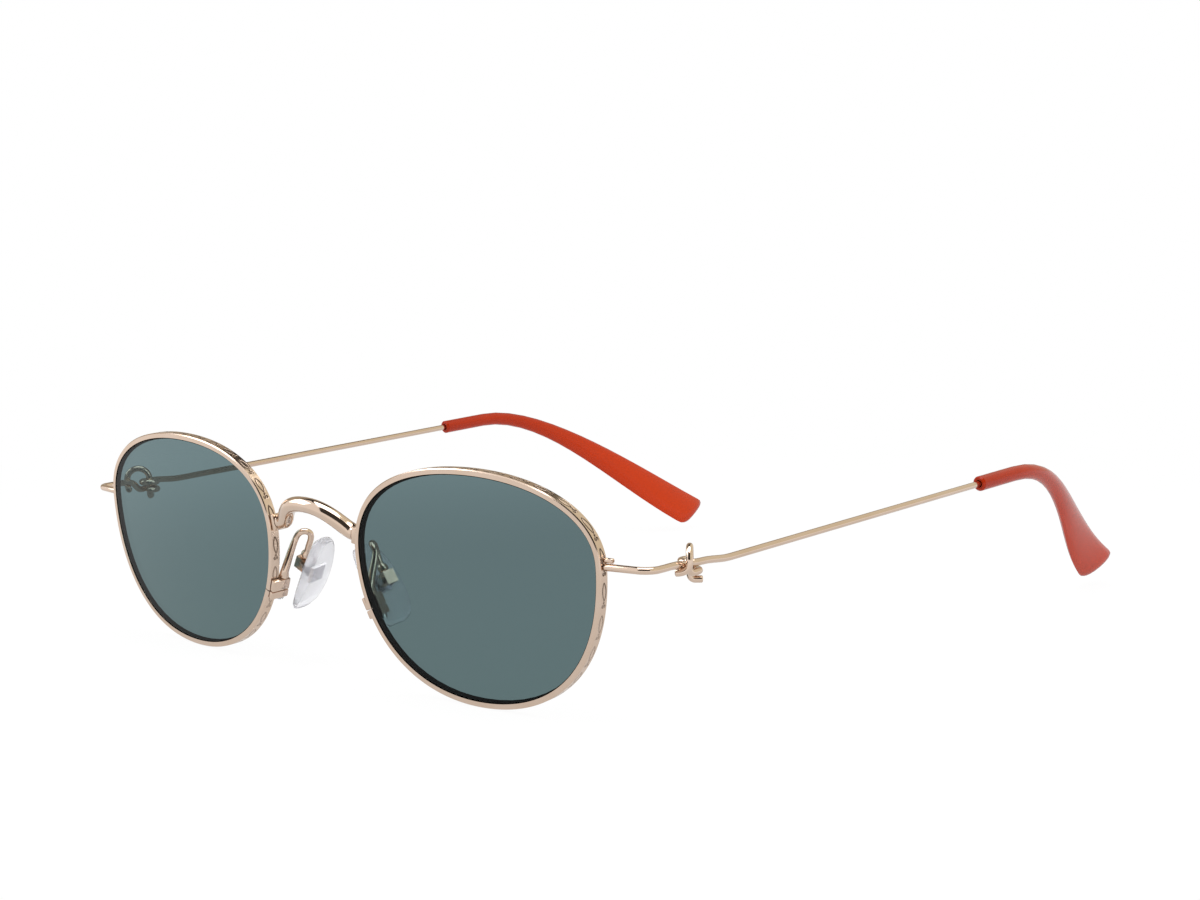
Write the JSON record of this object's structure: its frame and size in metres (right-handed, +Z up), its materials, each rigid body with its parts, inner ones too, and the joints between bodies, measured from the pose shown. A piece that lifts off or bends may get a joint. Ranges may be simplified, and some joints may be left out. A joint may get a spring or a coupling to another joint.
{
  "type": "sunglasses",
  "caption": "Thin metal sunglasses with rounded tinted lenses, an arched bridge, clear nose pads on wire arms, folding wire temples and moulded temple tips.",
  "frame": {"origin": "middle of the footprint, on the surface that the open glasses stand on", "axes": "+X to the wearer's left, +Y back towards the ears, +Z up"},
  "size_m": [0.138, 0.163, 0.0375],
  "materials": {
    "gold_metal": "polished champagne gold plating",
    "screw_metal": "polished",
    "tinted_lens": "polished, even grey green tint",
    "clear_silicone": "clear and glossy",
    "orange_acetate": "translucent orange, satin gloss"
  },
  "bodies": {
    "front": {"bridge": "gold_metal", "left_rim": "gold_metal", "right_rim": "gold_metal", "left_bridge_lug": "gold_metal", "right_bridge_lug": "gold_metal", "left_lock_upper": "gold_metal", "right_lock_upper": "gold_metal", "left_lock_lower": "gold_metal", "right_lock_lower": "gold_metal", "left_pad_arm": "gold_metal", "right_pad_arm": "gold_metal", "left_pad_holder": "gold_metal", "right_pad_holder": "gold_metal", "left_end_piece": "gold_metal", "right_end_piece": "gold_metal", "left_end_peg": "gold_metal", "right_end_peg": "gold_metal", "left_hinge_loop": "gold_metal", "right_hinge_loop": "gold_metal", "left_lock_screw": "screw_metal", "right_lock_screw": "screw_metal", "left_pad_screw": "screw_metal", "right_pad_screw": "screw_metal", "left_lens": "tinted_lens", "right_lens": "tinted_lens"},
    "left_temple": {"left_temple_wire": "gold_metal", "left_temple_tip": "orange_acetate"},
    "right_temple": {"right_temple_wire": "gold_metal", "right_temple_tip": "orange_acetate"},
    "left_nose_pad": {"left_pad_insert": "screw_metal", "left_nose_pad": "clear_silicone"},
    "right_nose_pad": {"right_pad_insert": "screw_metal", "right_nose_pad": "clear_silicone"}
  },
  "joints": [
    {"name": "left_temple_fold", "type": "hinge", "parent": "front", "child": "left_temple", "pos_m": [0.06597, -0.06185, 0.02462], "axis": [0, 0, 1], "range_deg": [0, 87]},
    {"name": "right_temple_fold", "type": "hinge", "parent": "front", "child": "right_temple", "pos_m": [-0.06597, -0.06185, 0.02462], "axis": [0, 0, -1], "range_deg": [0, 76]},
    {"name": "left_pad_swivel", "type": "hinge", "parent": "front", "child": "left_nose_pad", "pos_m": [0.01047, -0.07156, 0.01673], "axis": [0.0975, 0.9767, 0.1912], "range_deg": [-12, 12]},
    {"name": "right_pad_swivel", "type": "hinge", "parent": "front", "child": "right_nose_pad", "pos_m": [-0.01047, -0.07156, 0.01673], "axis": [-0.0975, 0.9767, 0.1912], "range_deg": [-12, 12]}
  ]
}
